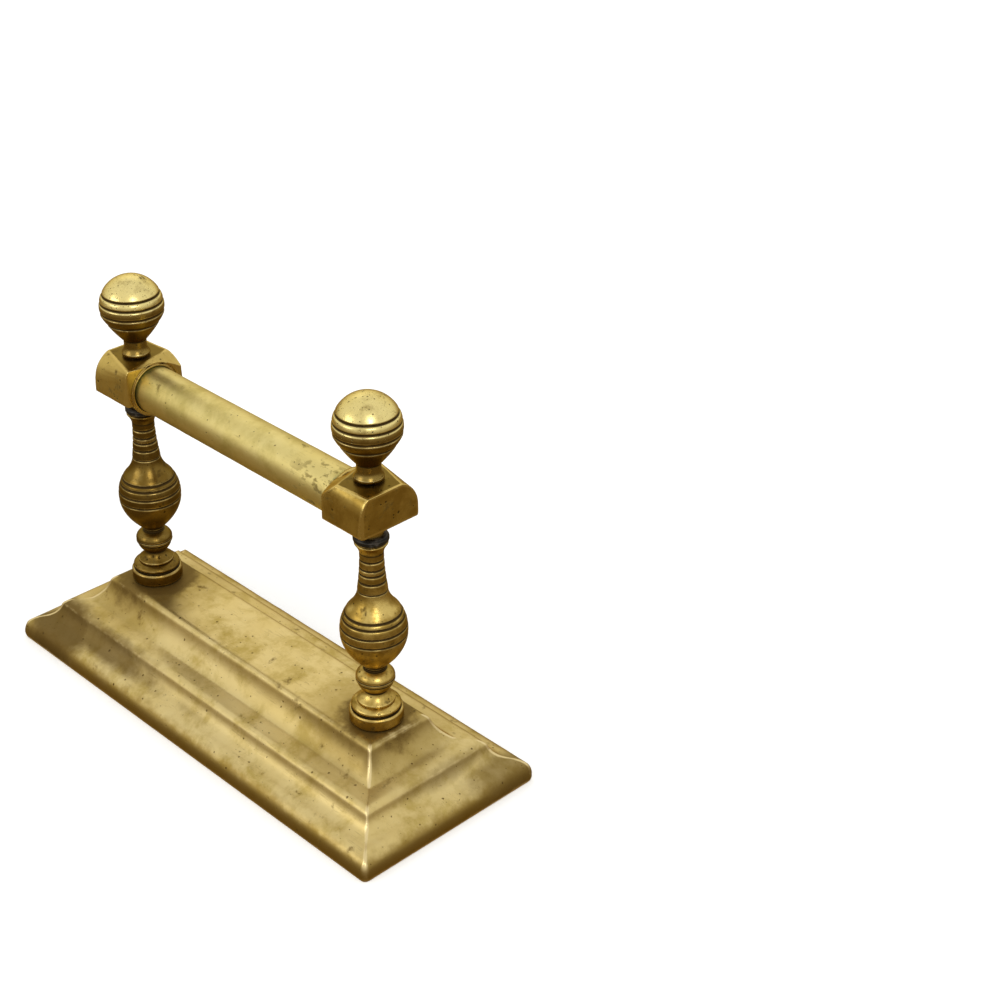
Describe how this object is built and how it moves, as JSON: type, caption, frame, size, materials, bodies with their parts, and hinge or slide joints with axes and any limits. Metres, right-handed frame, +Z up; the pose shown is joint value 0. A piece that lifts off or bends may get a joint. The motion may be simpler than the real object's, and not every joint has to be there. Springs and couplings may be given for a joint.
{
  "type": "andiron",
  "caption": "Low brass andiron: stepped hollow base, turned baluster posts on iron tie rods, and a round rest bar held in socket blocks under ball finials.",
  "frame": {"origin": "on the floor under the middle of the base", "axes": "+Z up; +X along the bar and the base, towards the hearth's front; +Y across the base"},
  "size_m": [0.28, 0.11, 0.2104],
  "materials": {
    "base_brass": "old cast brass, satin, worn bright along the mitres and creases, brown in the coves",
    "turned_brass": "turned brass browned by handling and smoke, bright on the bellies, dark in the scribed lines",
    "finial_brass": "polished turned brass, pale and pitted on top, brown underneath",
    "bar_brass": "drawn brass tube, greenish yellow, streaked along its length, green at the joints",
    "black_iron": "blackened iron washer with a soft sheen",
    "fastener_iron": "dull iron with a skin of brown rust"
  },
  "bodies": {
    "stand": {"stepped_base": "base_brass", "front_foot_collar": "turned_brass", "front_baluster_post": "turned_brass", "front_iron_washer": "black_iron", "front_socket_block": "turned_brass", "front_ball_finial": "finial_brass", "front_tie_rod": "fastener_iron", "front_under_washer": "fastener_iron", "front_tie_nut": "fastener_iron", "rear_foot_collar": "turned_brass", "rear_baluster_post": "turned_brass", "rear_iron_washer": "black_iron", "rear_socket_block": "turned_brass", "rear_ball_finial": "finial_brass", "rear_tie_rod": "fastener_iron", "rear_under_washer": "fastener_iron", "rear_tie_nut": "fastener_iron"},
    "bar": {"rest_bar": "bar_brass"}
  },
  "joints": [
    {"name": "bar_turn", "type": "hinge", "parent": "stand", "child": "bar", "pos_m": [0, 0, 0.1535], "axis": [1, 0, 0], "continuous": true}
  ]
}
